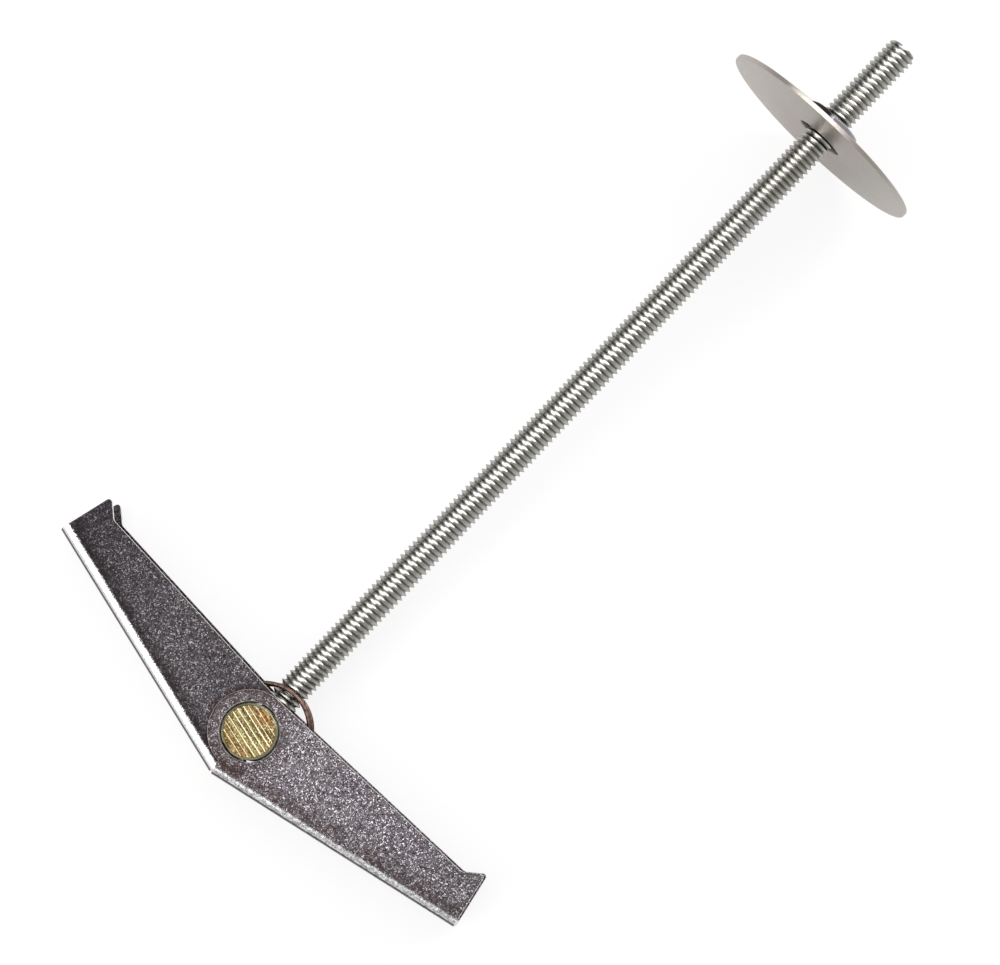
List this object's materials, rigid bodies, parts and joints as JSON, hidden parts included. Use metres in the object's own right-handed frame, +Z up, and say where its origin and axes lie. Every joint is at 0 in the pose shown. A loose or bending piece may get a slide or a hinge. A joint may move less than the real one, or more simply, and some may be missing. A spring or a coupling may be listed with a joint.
{
  "type": "spring toggle bolt",
  "caption": "Threaded rod with a cross bar, two sprung folding channel wings, a large washer and a hexagon nut, for fixing to a hollow wall.",
  "frame": {"origin": "on the ground, under the middle of the bolt's box", "axes": "+X along the rod's run towards the washer and nut, +Y towards the left wing's tip, +Z up; the rod itself climbs 4.96 degrees from +X towards +Z"},
  "size_m": [0.119, 0.0659, 0.0273],
  "materials": {
    "rod_zinc": "bright zinc plated",
    "bar_yellow_zinc": "yellow passivated zinc, sawn ends",
    "wing_zinc": "zinc plated sheet, fine sparkle",
    "spring_wire": "dark drawn wire",
    "washer_zinc": "satin zinc plated",
    "nut_zinc": "zinc plated"
  },
  "bodies": {
    "rod": {"threaded_rod": "rod_zinc"},
    "head": {"pivot_nut": "bar_yellow_zinc", "spring": "spring_wire"},
    "left_wing": {"wing_left": "wing_zinc"},
    "right_wing": {"wing_right": "wing_zinc"},
    "washer_slider": {"washer": "washer_zinc"},
    "nut": {"hex_nut": "nut_zinc"}
  },
  "joints": [
    {"name": "head_turn", "type": "hinge", "parent": "rod", "child": "head", "pos_m": [-0.05248, 0, 0.00521], "axis": [0.9963, 0, 0.0865], "range_deg": [-180, 120]},
    {"name": "left_wing_fold", "type": "hinge", "parent": "head", "child": "left_wing", "pos_m": [-0.05248, 0, 0.00521], "axis": [0.0865, 0, -0.9963], "range_deg": [0, 75.5], "stiffness_Nm_per_rad": 0.014, "springref_deg": -28.65, "deforming": ["spring"]},
    {"name": "right_wing_fold", "type": "hinge", "parent": "head", "child": "right_wing", "pos_m": [-0.05248, 0, 0.00521], "axis": [-0.0865, 0, 0.9963], "range_deg": [0, 78.5], "stiffness_Nm_per_rad": 0.014, "springref_deg": -28.65, "deforming": ["spring"]},
    {"name": "washer_slide", "type": "slide", "parent": "rod", "child": "washer_slider", "axis": [0.9963, 0, 0.0865], "range_m": [-0.0621, 0.0116]},
    {"name": "nut_spin", "type": "hinge", "parent": "washer_slider", "child": "nut", "pos_m": [0.04527, 0, 0.01369], "axis": [0.9963, 0, 0.0865], "range_deg": [-31938, 5967]}
  ],
  "couplings": [
    {"joint": "nut_spin", "follows": "washer_slide", "rad_per_m": 8976}
  ]
}
